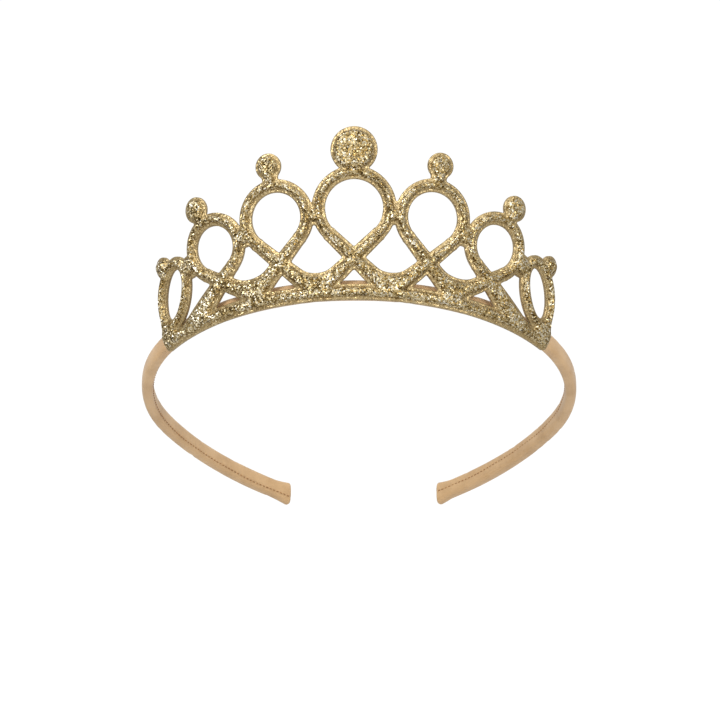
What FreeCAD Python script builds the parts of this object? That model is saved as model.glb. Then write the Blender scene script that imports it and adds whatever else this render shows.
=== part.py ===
import FreeCAD, Part
import math
import os

from FreeCAD import Base, Vector

# A child's crown headband: a sprung C-shaped band in a satin tube, with a
# glitter crown panel glued to its outer face.  Millimetres throughout.
#
# The band is drawn upright in the XZ plane, round the centre of its arch, and
# the crown stands off towards +Y.  At the end everything is tilted to the
# angle at which it is worn, with the origin on the band's inner face at the
# top of the arch, where it sits on the head.

# ---- band ------------------------------------------------------------------
ARCH_RADIUS = 60.6        # arch, to the centre line of the band
ARCH_HALF_ANGLE = 110.6   # degrees of arch each side of the top
ARM_RADIUS = 127.5        # gentler curve of the arms below the arch
ARM_SWEEP = 27.0          # degrees of that curve
WEAR_TILT = 62.6          # the arms fall this far back from vertical
CORE_WIDTH = 4.4          # plastic strip, across the band
CORE_THICKNESS = 2.6
CORE_CORNER = 1.0
SLEEVE_GAP = 0.1          # strip to satin tube
SLEEVE_WALL = 0.47
FLARE_LENGTH = 9.0        # pressed ends of the tube
FLARE_WIDTH = 7.4
FLARE_THICKNESS = 3.3
END_FOLD = 0.9            # folded satin past the end of the strip
SEAM_WIDTH = 1.0          # sewn seam down the inner face
SEAM_HEIGHT = 0.3
SEAM_END_MARGIN = 3.0     # the seam stops this far short of the end
FLEX_ANGLE = 68.0         # where each arm bends, degrees from the top
FLEX_GAP = 0.8            # room left for the bend between arch and arm

# ---- crown panel -----------------------------------------------------------
FLARE_ANGLE = 20.0        # the crown leans outwards, as part of a cone
PANEL_STAND_OFF = 2.0     # pattern surface above the band's outer face
BACKING_THICKNESS = 0.8
FOAM_THICKNESS = 1.5
SHEET_THICKNESS = 0.4
BACKING_INNER = -1.2      # backing's inner face, from the pattern surface
LIP_WIDTH = 0.75          # flat rim between the foam and the cut edge
GLUE_HALF_ANGLE = 56.0
GLUE_WIDTH = 2.4
GLUE_LEVEL = -1.3         # middle of the bead, from the middle of the band

# ---- crown outline, laid flat: x sideways, y up from the band's middle ------
STRAND_WIDTH = 3.6
RAIL_TOP = -0.1
RAIL_WIDTH = 4.2
RAIL_BEND_RADIUS = 161.0  # of the rail's lower edge, laid flat
RAIL_HALF_LENGTH = 59.0
LOOPS = [(0.0, 20.5, 9.65), (21.5, 18.3, 8.75), (40.2, 11.5, 7.8)]
VALLEYS = [(10.4, 10.9, 10.0), (30.5, 11.5, 11.6), (47.9, -9.5, 0.0)]
FOOT_WIDTHS = [5.4, 5.4, 8.0]     # strands widen into the rail
VALLEY_WIDTH = 4.2
BALLS = [(0.0, 36.3, 6.35), (23.6, 32.4, 3.6), (46.2, 22.3, 3.6), (59.6, 7.6, 3.0)]
NECK_WIDTH = 4.4
JOINS = [(10.5, 18.7, 2.7), (30.7, 13.9, 3.0), (48.9, 7.0, 3.2)]
END_LOOP = (55.7, 0.0)
END_LOOP_HALF_LENGTH = 8.8
END_LOOP_HALF_WIDTH = 4.8
END_LOOP_LEAN = 16.0
END_PAD = (57.7, -11.1, 4.2)
END_POST = ((60.9, -4.0), (59.9, -11.2))
END_POST_WIDTH = 3.0
SMALLEST_HOLE = 2.0       # square millimetres; anything smaller isn't cut out

# ---- sizes that follow -----------------------------------------------------
SLEEVE_INNER = SLEEVE_GAP
SLEEVE_OUTER = SLEEVE_GAP + SLEEVE_WALL
BAND_HALF = CORE_THICKNESS / 2 + SLEEVE_OUTER
SINE = math.sin(math.radians(FLARE_ANGLE))
COSINE = math.cos(math.radians(FLARE_ANGLE))
PATTERN_RADIUS = ARCH_RADIUS + BAND_HALF + PANEL_STAND_OFF
APEX_DISTANCE = PATTERN_RADIUS / SINE
BACKING_OUTER = BACKING_INNER + BACKING_THICKNESS
LIP_OUTER = BACKING_OUTER + SHEET_THICKNESS
FOAM_OUTER = BACKING_OUTER + FOAM_THICKNESS
PUFF_OUTER = FOAM_OUTER + SHEET_THICKNESS
RAIL_CENTRE_Y = RAIL_TOP - RAIL_WIDTH - RAIL_BEND_RADIUS
END_LOOP_ROUND = END_LOOP + ((END_LOOP_HALF_LENGTH + END_LOOP_HALF_WIDTH) / 2,)
FLEX_HALF_GAP = math.degrees(FLEX_GAP / 2 / ARCH_RADIUS)
TIP_ANGLE = ARCH_HALF_ANGLE + ARM_SWEEP
Y_AXIS = Vector(0, 1, 0)


# ---- band ------------------------------------------------------------------
def outward(angle):
    """Unit vector from the middle of the arch, this many degrees from its top."""
    turn = math.radians(angle)
    return Vector(math.sin(turn), 0, math.cos(turn))


ARM_CENTRE = outward(ARCH_HALF_ANGLE) * (ARCH_RADIUS - ARM_RADIUS)


def rounded_section(width, thickness, corner):
    """Rounded rectangle in the YZ plane, width along Y, as a closed wire."""
    y = width / 2
    z = thickness / 2
    corner = min(corner, 0.98 * min(y, z))
    edges = []
    for side_y, side_z, start in ((1, 1, 0), (-1, 1, 90), (-1, -1, 180), (1, -1, 270)):
        centre = Vector(0, side_y * (y - corner), side_z * (z - corner))
        points = []
        for step in (0, 45, 90):
            turn = math.radians(start + step)
            points.append(centre + Vector(0, math.cos(turn), math.sin(turn)) * corner)
        edges.append(Part.Arc(*points).toShape())
    sides = []
    for index, edge in enumerate(edges):
        following = edges[(index + 1) % 4]
        sides.append(edge)
        sides.append(Part.makeLine(edge.Vertexes[-1].Point, following.Vertexes[0].Point))
    return Part.Wire(sides)


def band_section(grown):
    """Section of the strip, grown all round."""
    width = CORE_WIDTH + 2 * grown
    thickness = CORE_THICKNESS + 2 * grown
    return rounded_section(width, thickness, CORE_CORNER + grown)


def bent(section, radius, start, end, centre):
    """Section carried round an arc of this radius, between two angles from the top."""
    face = Part.Face(section)
    face.translate(Vector(0, 0, radius))
    face.rotate(Vector(), Y_AXIS, start)
    solid = face.revolve(Vector(), Y_AXIS, end - start)
    solid.translate(centre)
    return solid


def on_arch(section, start, end):
    """Section carried round part of the arch."""
    return bent(section, ARCH_RADIUS, start, end, Vector())


def on_arm(section, start, end):
    """Section carried round part of the right arm's gentler curve."""
    return bent(section, ARM_RADIUS, start, end, ARM_CENTRE)


def arm_run(grown, end):
    """Strip section, grown all round, from the bend of the right arm to an angle."""
    section = band_section(grown)
    upper = on_arch(section, FLEX_ANGLE + FLEX_HALF_GAP, ARCH_HALF_ANGLE)
    lower = on_arm(section, ARCH_HALF_ANGLE, end)
    return upper.fuse(lower).removeSplitter().Solids[0]


def arm_angle(back_from_tip):
    """Angle of a point this far along the arm from its tip."""
    return TIP_ANGLE - math.degrees(back_from_tip / ARM_RADIUS)


def flared_end():
    """Outside of the pressed end of the tube, on the right arm."""
    start_width = CORE_WIDTH + 2 * SLEEVE_OUTER
    start_thickness = CORE_THICKNESS + 2 * SLEEVE_OUTER
    wires = []
    for share in (0.0, 0.25, 0.5, 0.75, 1.0):
        ease = share * share * (3 - 2 * share)
        width = start_width + (FLARE_WIDTH - start_width) * ease
        thickness = start_thickness + (FLARE_THICKNESS - start_thickness) * ease
        wire = rounded_section(width, thickness, CORE_CORNER + SLEEVE_OUTER)
        wire.translate(Vector(0, 0, ARM_RADIUS))
        wire.rotate(Vector(), Y_AXIS, arm_angle(FLARE_LENGTH * (1 - share)))
        wire.translate(ARM_CENTRE)
        wires.append(wire)
    return Part.makeLoft(wires, True)


def mirrored(shape):
    """The same piece on the other side."""
    return shape.mirror(Vector(), Vector(1, 0, 0))


def core_arch():
    """Strip between the two bends."""
    limit = FLEX_ANGLE - FLEX_HALF_GAP
    return on_arch(band_section(0), -limit, limit)


def core_arm():
    """Strip of the right arm."""
    return arm_run(0, arm_angle(END_FOLD))


def sleeve_arch():
    """Satin tube between the two bends."""
    limit = FLEX_ANGLE - FLEX_HALF_GAP
    outside = on_arch(band_section(SLEEVE_OUTER), -limit, limit)
    inside = on_arch(band_section(SLEEVE_INNER), -limit - 1, limit + 1)
    return outside.cut(inside)


def sleeve_arm():
    """Satin tube of the right arm, with its pressed and closed end."""
    tube = arm_run(SLEEVE_OUTER, arm_angle(FLARE_LENGTH))
    outside = tube.fuse(flared_end()).removeSplitter().Solids[0]
    section = band_section(SLEEVE_INNER)
    upper = on_arch(section, FLEX_ANGLE, ARCH_HALF_ANGLE)
    lower = on_arm(section, ARCH_HALF_ANGLE, arm_angle(END_FOLD - SLEEVE_GAP))
    return outside.cut(upper.fuse(lower).removeSplitter())


def seam_section():
    """Low ridge on the inner face of the tube."""
    inner_face = -BAND_HALF
    ridge = rounded_section(SEAM_WIDTH, SEAM_HEIGHT, SEAM_HEIGHT / 2)
    ridge.translate(Vector(0, 0, inner_face - SEAM_HEIGHT / 2))
    return ridge


def seam_arch():
    """Seam between the two bends."""
    limit = FLEX_ANGLE - FLEX_HALF_GAP
    return on_arch(seam_section(), -limit, limit)


def seam_arm():
    """Seam of the right arm."""
    section = seam_section()
    upper = on_arch(section, FLEX_ANGLE + FLEX_HALF_GAP, ARCH_HALF_ANGLE)
    lower = on_arm(section, ARCH_HALF_ANGLE, arm_angle(FLARE_LENGTH + SEAM_END_MARGIN))
    return upper.fuse(lower).removeSplitter().Solids[0]


# ---- crown outline, laid flat ----------------------------------------------
def disc(x, y, radius):
    """Flat round patch."""
    circle = Part.Circle(Vector(x, y, 0), Vector(0, 0, 1), radius)
    return Part.Face(Part.Wire(circle.toShape()))


def bar(start, end, width, end_width):
    """Flat straight patch with square ends, wider or narrower at its end."""
    along = (end - start).normalize()
    side = Vector(-along.y, along.x, 0) * (width / 2)
    end_side = Vector(-along.y, along.x, 0) * (end_width / 2)
    corners = [start + side, start - side, end - end_side, end + end_side]
    return Part.Face(Part.makePolygon(corners + corners[:1]))


def ring_part(centre, radius, width, start, end):
    """Flat piece of a ring, from one angle to another in radians."""
    outer = radius + width / 2
    inner = radius - width / 2
    middle = (start + end) / 2
    directions = []
    for turn in (start, middle, end):
        directions.append(Vector(math.cos(turn), math.sin(turn), 0))
    far = [centre + way * outer for way in directions]
    near = [centre + way * inner for way in directions]
    edges = [Part.Arc(*far).toShape(), Part.makeLine(far[2], near[2])]
    edges.append(Part.Arc(near[2], near[1], near[0]).toShape())
    edges.append(Part.makeLine(near[0], far[0]))
    return Part.Face(Part.Wire(edges))


def tangent_normal(first, second, side):
    """Angle of the normal of the line that touches two circles on one side."""
    step = Vector(second[0] - first[0], second[1] - first[1], 0)
    spread = math.acos((first[2] - second[2]) / step.Length)
    return math.atan2(step.y, step.x) + side * spread


def rail_crossing(start, along):
    """Where a strand that leaves a point in one direction reaches the rail's foot."""
    offset = start - Vector(0, RAIL_CENTRE_Y, 0)
    half = offset.dot(along)
    beyond = offset.dot(offset) - RAIL_BEND_RADIUS * RAIL_BEND_RADIUS
    return start + along * (-half - math.sqrt(half * half - beyond))


def strand(loop, valley, side, width, foot_width):
    """Straight strand from one side of a loop, across below it and into the rail."""
    turn = tangent_normal(loop, valley, side)
    normal = Vector(math.cos(turn), math.sin(turn), 0)
    start = Vector(loop[0], loop[1], 0) + normal * loop[2]
    along = Vector(-side * normal.y, side * normal.x, 0)
    if along.y > 0:
        along = along * -1
    return bar(start, rail_crossing(start, along), width, foot_width), turn


def loop_patches(index, trim):
    """One loop of the chain with its two crossing strands."""
    loop = LOOPS[index]
    width = STRAND_WIDTH - 2 * trim
    right = VALLEYS[index]
    left = (-right[0], right[1], right[2]) if index == 0 else VALLEYS[index - 1]
    right_foot = FOOT_WIDTHS[index] - 2 * trim
    left_foot = FOOT_WIDTHS[max(index - 1, 0)] - 2 * trim
    falling, left_turn = strand(loop, right, -1, width, right_foot)
    rising, right_turn = strand(loop, left, 1, width, left_foot)
    full = 2 * math.pi
    start = right_turn % full - full
    end = left_turn % full
    if end - start > full:
        end -= full
    ring = ring_part(Vector(loop[0], loop[1], 0), loop[2], width, start, end)
    return [ring, falling, rising]


def downward(turn):
    """The same direction, written as the angle nearest to straight down."""
    return (turn - math.pi / 2) % (2 * math.pi) - 3 * math.pi / 2


def valley_patch(index, width):
    """Rounded bottom between two loops."""
    valley = VALLEYS[index]
    start = downward(tangent_normal(LOOPS[index], valley, -1))
    end = downward(tangent_normal(LOOPS[index + 1], valley, 1))
    return ring_part(Vector(valley[0], valley[1], 0), valley[2], width, start, end)


def rail_band(low, high, half_length):
    """Flat band that follows the rail, between two heights above the rail's foot."""
    middle = RAIL_BEND_RADIUS + (low + high) / 2
    turn = math.asin(half_length / middle)
    centre = Vector(0, RAIL_CENTRE_Y, 0)
    upright = math.pi / 2
    return ring_part(centre, middle, high - low, upright - turn, upright + turn)


def end_loop(width):
    """Leaning oval loop at the end of the crown."""
    normal = Vector(0, 0, 1)
    centre = Vector(END_LOOP[0], END_LOOP[1], 0)
    wires = []
    for grown in (width / 2, -width / 2):
        oval = Part.Ellipse(Vector(), END_LOOP_HALF_LENGTH + grown, END_LOOP_HALF_WIDTH + grown)
        wire = Part.Wire(oval.toShape())
        wire.rotate(Vector(), normal, 90 + END_LOOP_LEAN)
        wire.translate(centre)
        wires.append(wire)
    return Part.Face(wires[0]).cut(Part.Face(wires[1]))


def neck(ball, loop, width):
    """Short neck from a ball to the middle of the strand that it stands on."""
    top = Vector(ball[0], ball[1], 0)
    down = Vector(loop[0], loop[1], 0) - top
    reach = down.Length - loop[2]
    return bar(top, top + down.normalize() * reach, width, width)


def inner_wires(face):
    """Holes of a flat face."""
    return [wire for wire in face.Wires if not wire.isSame(face.OuterWire)]


def half_outline(trim):
    """Patches of the right half of the crown, each drawn in by a trim all round."""
    width = STRAND_WIDTH - 2 * trim
    patches = []
    for index in range(len(LOOPS)):
        patches += loop_patches(index, trim)
    for index in range(len(VALLEYS) - 1):
        patches.append(valley_patch(index, VALLEY_WIDTH - 2 * trim))
    for index, ball in enumerate(BALLS):
        patches.append(disc(ball[0], ball[1], ball[2] - trim))
        patches.append(neck(ball, (LOOPS + [END_LOOP_ROUND])[index], NECK_WIDTH - 2 * trim))
    for join in JOINS:
        patches.append(disc(join[0], join[1], join[2] - trim))
    patches.append(end_loop(width))
    patches.append(disc(END_PAD[0], END_PAD[1], END_PAD[2] - trim))
    post = END_POST_WIDTH - 2 * trim
    patches.append(bar(Vector(*END_POST[0], 0), Vector(*END_POST[1], 0), post, post))
    return patches


def outline(trim):
    """The whole crown laid flat, drawn in by a trim all round, as one face."""
    patches = half_outline(trim)
    others = [patch.mirror(Vector(), Vector(1, 0, 0)) for patch in patches]
    rail = rail_band(trim, RAIL_WIDTH - trim, RAIL_HALF_LENGTH)
    below = rail_band(trim - 2 * RAIL_WIDTH, trim, 1.3 * RAIL_HALF_LENGTH)
    plates = []
    for patch in patches + others:
        plates.append(patch.extrude(Vector(0, 0, 1)))
    whole = rail.extrude(Vector(0, 0, 1)).multiFuse(plates)
    whole = whole.cut(below.extrude(Vector(0, 0, 1))).removeSplitter()
    lowest = [face for face in whole.Faces if face.CenterOfMass.z < 0.01]
    face = max(lowest, key=lambda face: face.Area)
    holes = [wire for wire in inner_wires(face) if Part.Face(wire).Area > SMALLEST_HOLE]
    return Part.Face([face.OuterWire] + holes)


# ---- crown panel, rolled onto its cone -------------------------------------
def cone(offset):
    """Conical surface of the panel, this far outside the pattern surface."""
    surface = Part.Cone()
    surface.Center = Vector(0, -offset * SINE, 0)
    surface.Axis = Y_AXIS
    surface.SemiAngle = math.radians(FLARE_ANGLE)
    surface.Radius = PATTERN_RADIUS + offset * COSINE
    return surface


def rolled_point(point):
    """Angle round the cone and height up its side, of a point of the flat outline."""
    reach = math.hypot(point.x, point.y + APEX_DISTANCE)
    turn = math.atan2(point.x, point.y + APEX_DISTANCE)
    return turn / SINE - math.pi / 2, reach - APEX_DISTANCE


def rolled_curves(wire):
    """Curves on the cone's own coordinates for each edge of a flat wire."""
    curves = []
    for edge in wire.OrderedEdges:
        spans = [(edge.FirstParameter, edge.LastParameter)]
        if edge.isClosed():
            middle = (edge.FirstParameter + edge.LastParameter) / 2
            spans = [(edge.FirstParameter, middle), (middle, edge.LastParameter)]
        for first, last in spans:
            steps = max(4, min(16, int(edge.Length / len(spans) / 1.2)))
            points = []
            for step in range(steps + 1):
                place = edge.valueAt(first + (last - first) * step / steps)
                points.append(rolled_point(place))
            curves.append(points)
    return curves


def smooth_curve(points):
    """Curve through points given as angle and height, fitted at their true spacing."""
    flat = [Base.Vector2d(turn * PATTERN_RADIUS, height) for turn, height in points]
    curve = Part.Geom2d.BSplineCurve2d()
    curve.interpolate(flat)
    poles = [Base.Vector2d(pole.x / PATTERN_RADIUS, pole.y) for pole in curve.getPoles()]
    counts = curve.getMultiplicities()
    knots = curve.getKnots()
    curve.buildFromPolesMultsKnots(poles, counts, knots, False, curve.Degree)
    return curve


def rolled_edges(wire, surface):
    """Edges of a flat wire, laid on a cone."""
    return [smooth_curve(points).toShape(surface) for points in rolled_curves(wire)]


def rolled_wire(wire, surface):
    """Flat wire laid on a cone."""
    return Part.Wire(rolled_edges(wire, surface))


def rolled_face(outer, holes, offset):
    """Face on the cone inside one wire and outside the others, all drawn flat."""
    surface = cone(offset)
    face = Part.Face(surface, rolled_wire(outer, surface))
    if holes:
        face.cutHoles([rolled_wire(hole, surface) for hole in holes])
    face.validate()
    return face


def rolled_sides(wire, inner, outer):
    """Cut edge between two offsets of the cone, along a flat wire."""
    near = rolled_edges(wire, cone(inner))
    far = rolled_edges(wire, cone(outer))
    return [Part.makeRuledSurface(low, high) for low, high in zip(near, far)]


def sewn(faces):
    """Closed solid from its faces."""
    shell = Part.Compound(faces)
    shell.sewShape(1e-4)
    solid = Part.Solid(shell.Shells[0])
    if solid.Volume < 0:
        solid.reverse()
    return solid


def slab(flat, inner, outer):
    """Flat outline rolled onto the cone, from one offset to another."""
    holes = inner_wires(flat)
    faces = [rolled_face(flat.OuterWire, holes, inner)]
    faces.append(rolled_face(flat.OuterWire, holes, outer))
    for wire in flat.Wires:
        faces += rolled_sides(wire, inner, outer)
    return sewn(faces)


def crown_backing():
    """Stiff sheet behind the whole crown."""
    return slab(outline(0), BACKING_INNER, BACKING_OUTER)


def crown_foam():
    """Foam that puffs up the strands, balls and rail."""
    return slab(outline(LIP_WIDTH), BACKING_OUTER, FOAM_OUTER)


def crown_front():
    """Glitter sheet: a flat lip round every edge, puffed out over the foam."""
    lip = outline(0)
    puff = outline(LIP_WIDTH - SHEET_THICKNESS)
    foam = outline(LIP_WIDTH)
    faces = [rolled_face(foam.OuterWire, inner_wires(foam), FOAM_OUTER)]
    faces.append(rolled_face(puff.OuterWire, inner_wires(puff), PUFF_OUTER))
    faces += rims(lip, foam, BACKING_OUTER)
    faces += rims(lip, puff, LIP_OUTER)
    for wire in lip.Wires:
        faces += rolled_sides(wire, BACKING_OUTER, LIP_OUTER)
    for wire in puff.Wires:
        faces += rolled_sides(wire, LIP_OUTER, PUFF_OUTER)
    for wire in foam.Wires:
        faces += rolled_sides(wire, BACKING_OUTER, FOAM_OUTER)
    return sewn(faces)


def rims(wide, narrow, offset):
    """Faces between each edge of a wide outline and the same edge drawn in."""
    faces = [rolled_face(wide.OuterWire, [narrow.OuterWire], offset)]
    for hole in inner_wires(narrow):
        inside = [wire for wire in inner_wires(wide) if is_around(hole, wire)]
        faces.append(rolled_face(hole, inside, offset))
    return faces


def is_around(outer, inner):
    """Whether one flat wire lies within another."""
    return Part.Face(outer).isInside(inner.Vertexes[0].Point, 1e-6, True)


def glue_bead():
    """Glue between the back of the rail and the outer face of the band."""
    backing_foot = PATTERN_RADIUS + BACKING_INNER * COSINE
    corners = []
    for side, sunk in ((-1, False), (1, False), (1, True), (-1, True)):
        y = GLUE_LEVEL + side * GLUE_WIDTH / 2
        along = (y + BACKING_INNER * SINE) / COSINE
        z = ARCH_RADIUS + CORE_THICKNESS / 2 if sunk else backing_foot + along * SINE
        corners.append(Vector(0, y, z))
    profile = Part.Face(Part.makePolygon(corners + corners[:1]))
    profile.rotate(Vector(), Y_AXIS, -GLUE_HALF_ANGLE)
    bead = profile.revolve(Vector(), Y_AXIS, 2 * GLUE_HALF_ANGLE)
    band = on_arch(band_section(SLEEVE_OUTER), -GLUE_HALF_ANGLE - 1, GLUE_HALF_ANGLE + 1)
    return bead.cut(band)


def worn(shape):
    """Move from the arch's centre to the head seat, and tilt to the wearing angle."""
    placed = shape.copy()
    placed.translate(Vector(0, 0, BAND_HALF - ARCH_RADIUS))
    placed.rotate(Vector(), Vector(1, 0, 0), WEAR_TILT)
    return placed


def build():
    """Every piece by name."""
    pieces = {
        "core_arch": core_arch(),
        "core_right_arm": core_arm(),
        "sleeve_arch": sleeve_arch(),
        "sleeve_right_arm": sleeve_arm(),
        "seam_arch": seam_arch(),
        "seam_right_arm": seam_arm(),
        "crown_backing": crown_backing(),
        "crown_foam": crown_foam(),
        "crown_front": crown_front(),
        "glue_bead": glue_bead(),
    }
    for name in ("core", "sleeve", "seam"):
        pieces[name + "_left_arm"] = mirrored(pieces[name + "_right_arm"])
    return pieces


def main():
    """Write one file for each piece."""
    os.makedirs("parts", exist_ok=True)
    for name, shape in build().items():
        solid = worn(shape)
        solid.exportStep("parts/" + name + ".step")
        print(name, len(solid.Solids), solid.isValid(), round(solid.Volume, 1))


main()
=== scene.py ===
"""Looks of a child's glitter crown headband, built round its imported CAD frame."""

import logging
import math
from dataclasses import dataclass
from enum import Enum
from typing import Callable, Sequence

import bpy
import numpy as np
from mathutils import Matrix, Vector

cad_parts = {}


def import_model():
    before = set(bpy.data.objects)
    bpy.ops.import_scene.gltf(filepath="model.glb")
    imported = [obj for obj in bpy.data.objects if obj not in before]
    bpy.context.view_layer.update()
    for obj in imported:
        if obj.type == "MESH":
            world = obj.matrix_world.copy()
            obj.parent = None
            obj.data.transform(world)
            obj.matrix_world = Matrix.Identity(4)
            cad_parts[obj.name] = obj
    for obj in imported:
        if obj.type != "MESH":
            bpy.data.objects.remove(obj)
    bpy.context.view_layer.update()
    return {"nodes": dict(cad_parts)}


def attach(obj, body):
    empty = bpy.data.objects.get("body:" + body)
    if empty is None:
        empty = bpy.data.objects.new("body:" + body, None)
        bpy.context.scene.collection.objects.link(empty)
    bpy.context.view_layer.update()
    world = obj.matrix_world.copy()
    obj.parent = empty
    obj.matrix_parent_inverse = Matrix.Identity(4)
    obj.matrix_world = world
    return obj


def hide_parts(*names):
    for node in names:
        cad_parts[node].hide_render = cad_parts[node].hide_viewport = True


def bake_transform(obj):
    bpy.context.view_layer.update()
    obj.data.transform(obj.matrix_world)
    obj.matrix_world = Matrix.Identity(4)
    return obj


LOG = logging.getLogger("crown")
MM = 0.001
TINY = 1e-9
Colour = tuple[float, float, float]
Numbers = tuple[float, ...]


# ---------------------------------------------------------------- finishes --
class Side(Enum):
    """Which arm of the band, as a sign of X."""

    LEFT = -1
    RIGHT = 1

    @property
    def word(self) -> str:
        """Lower-case name of the side."""
        return self.name.lower()

    @property
    def place(self) -> int:
        """Where the side's value stands in a pair, left first."""
        return 0 if self is Side.LEFT else 1


class Slot(Enum):
    """Material slots of the record."""

    CORE = "core_plastic"
    SATIN = "satin_sleeve"
    THREAD = "seam_thread"
    BACKING = "backing_sheet"
    FOAM = "puff_foam"
    GLITTER = "glitter_sheet"
    GLUE = "hot_melt"


@dataclass(frozen=True)
class Finish:
    """Constants of one simple finish."""

    colour: Colour
    roughness: float = 0.5
    sheen: float = 0.0
    subsurface: float = 0.0
    subsurface_scale: float = 0.001
    mottle: float = 0.86
    grain: float = 900.0

    @property
    def darker(self) -> Colour:
        """The mottle's dark tone."""
        return tuple(self.mottle * part for part in self.colour)


@dataclass(frozen=True)
class GlitterFinish:
    """Constants of the glitter sheet. Sizes in metres."""

    flake: float = 0.00036
    fleck: float = 0.00019
    tilt: float = 0.62
    flake_share: float = 0.72
    fleck_share: float = 0.28
    drift_rate: float = 260.0
    drift_share: float = 0.5
    calming: float = 0.55
    calm_tone: float = 0.46
    roughness: float = 0.24
    roughness_spread: float = 0.22
    metallic: float = 0.84
    lip: Colour = (0.47, 0.36, 0.20)
    lip_share: float = 0.42
    # The darkest stop is painted shade of flakes turned from the light and the brightest a
    # painted glint of flakes turned to it; the stops between are the glitter's own tones.
    flake_painted_shade: Colour = (0.06, 0.034, 0.006)
    brown: Colour = (0.21, 0.130, 0.032)
    gold: Colour = (0.44, 0.32, 0.135)
    champagne: Colour = (0.68, 0.58, 0.35)
    flake_painted_glint: Colour = (1.0, 0.96, 0.84)

    @property
    def tones(self) -> list[tuple[float, Colour]]:
        """Stops of the flakes' colour ramp, from the darkest painted shade through the glitter's
        own brown, gold and champagne up to the brightest painted glint.
        """
        return [(0.10, self.flake_painted_shade), (0.30, self.brown), (0.52, self.gold),
                (0.74, self.champagne), (0.90, self.flake_painted_glint)]


@dataclass(frozen=True)
class SatinFinish:
    """Constants of the satin tube. Sizes in metres."""

    light: Colour = (0.64, 0.42, 0.215)
    dark: Colour = (0.53, 0.33, 0.155)
    roughness: float = 0.40
    sheen: float = 0.12
    thread: float = 0.00022
    sheen_roughness: float = 0.4
    bump: float = 0.25
    bump_depth: float = 0.00006

    @property
    def tones(self) -> list[tuple[float, Colour]]:
        """Stops of the cloth's colour ramp."""
        return [(0.36, self.dark), (0.62, self.light)]


@dataclass(frozen=True)
class Weave:
    """Constants that every cloth shares. Rates are per metre."""

    across: float = 1.0
    along: float = 0.62
    soft_rate: float = 120.0
    soft_share: float = 0.75
    fine_rate: float = 2200.0
    fine_share: float = 0.25
    thread_shade: float = 0.04
    thread_height: float = 0.35


FELT = SatinFinish((0.40, 0.30, 0.16), (0.30, 0.22, 0.11), 0.9, 0.2, 0.0003)
PLAIN: dict[Slot, Finish] = {
    Slot.CORE: Finish((0.62, 0.46, 0.28), 0.5),
    Slot.FOAM: Finish((0.80, 0.70, 0.50), 0.9, subsurface=0.1),
    Slot.GLUE: Finish((0.80, 0.75, 0.60), 0.35, subsurface=0.4),
    Slot.THREAD: Finish((0.36, 0.165, 0.05), 0.7, sheen=0.1),
}


class Nodes:
    """Short way to add and join nodes in one tree."""

    def __init__(self, tree: bpy.types.NodeTree) -> None:
        """Keep the tree.

        Args:
            tree: The node tree to fill.
        """
        self.tree = tree

    def add(self, kind: str, **values: object) -> bpy.types.Node:
        """Add a node and set its properties or inputs.

        Args:
            kind: The node's type.
            **values: Property values by name, or ("in_" + input name) values.

        Returns:
            The new node.
        """
        node = self.tree.nodes.new(kind)
        for name, value in values.items():
            if name.startswith("in_"):
                node.inputs[name[3:].replace("_", " ")].default_value = value
            else:
                setattr(node, name, value)
        return node

    def join(self, source: bpy.types.NodeSocket, target: bpy.types.NodeSocket) -> None:
        """Link one socket to another.

        Args:
            source: Output socket.
            target: Input socket.
        """
        self.tree.links.new(source, target)

    def math(self, operation: str, *terms: object) -> bpy.types.NodeSocket:
        """Math node on sockets or numbers.

        Args:
            operation: What the node does with its terms.
            *terms: Up to three sockets or numbers.

        Returns:
            The value's output socket.
        """
        node = self.add("ShaderNodeMath", operation=operation)
        for place, value in enumerate(terms):
            if isinstance(value, (int, float)):
                node.inputs[place].default_value = value
            else:
                self.join(value, node.inputs[place])
        return node.outputs[0]

    def ramp(self, factor: bpy.types.NodeSocket,
             stops: Sequence[tuple[float, Colour]]) -> bpy.types.NodeSocket:
        """Colour ramp.

        Args:
            factor: Position along the ramp.
            stops: Positions with their colours.

        Returns:
            The colour's output socket.
        """
        node = self.add("ShaderNodeValToRGB")
        band = node.color_ramp
        while len(band.elements) < len(stops):
            band.elements.new(0.5)
        for element, (place, colour) in zip(band.elements, stops):
            element.position = place
            element.color = (*colour, 1.0)
        self.join(factor, node.inputs[0])
        return node.outputs[0]


def group(name: str, inputs: dict[str, float], outputs: dict[str, str],
          fill: Callable[[Nodes, bpy.types.Node, bpy.types.Node], None]) -> bpy.types.NodeTree:
    """Make a shader node group.

    Args:
        name: The group's name.
        inputs: Float inputs with their defaults.
        outputs: Output names with their socket types.
        fill: Adds the nodes between the group's input and output.

    Returns:
        The group's tree.
    """
    tree = bpy.data.node_groups.new(name, "ShaderNodeTree")
    for label, default in inputs.items():
        socket = tree.interface.new_socket(label, in_out="INPUT", socket_type="NodeSocketFloat")
        socket.default_value = default
    for label, kind in outputs.items():
        tree.interface.new_socket(label, in_out="OUTPUT", socket_type=kind)
    nodes = Nodes(tree)
    fill(nodes, nodes.add("NodeGroupInput"), nodes.add("NodeGroupOutput"))
    return tree


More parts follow.
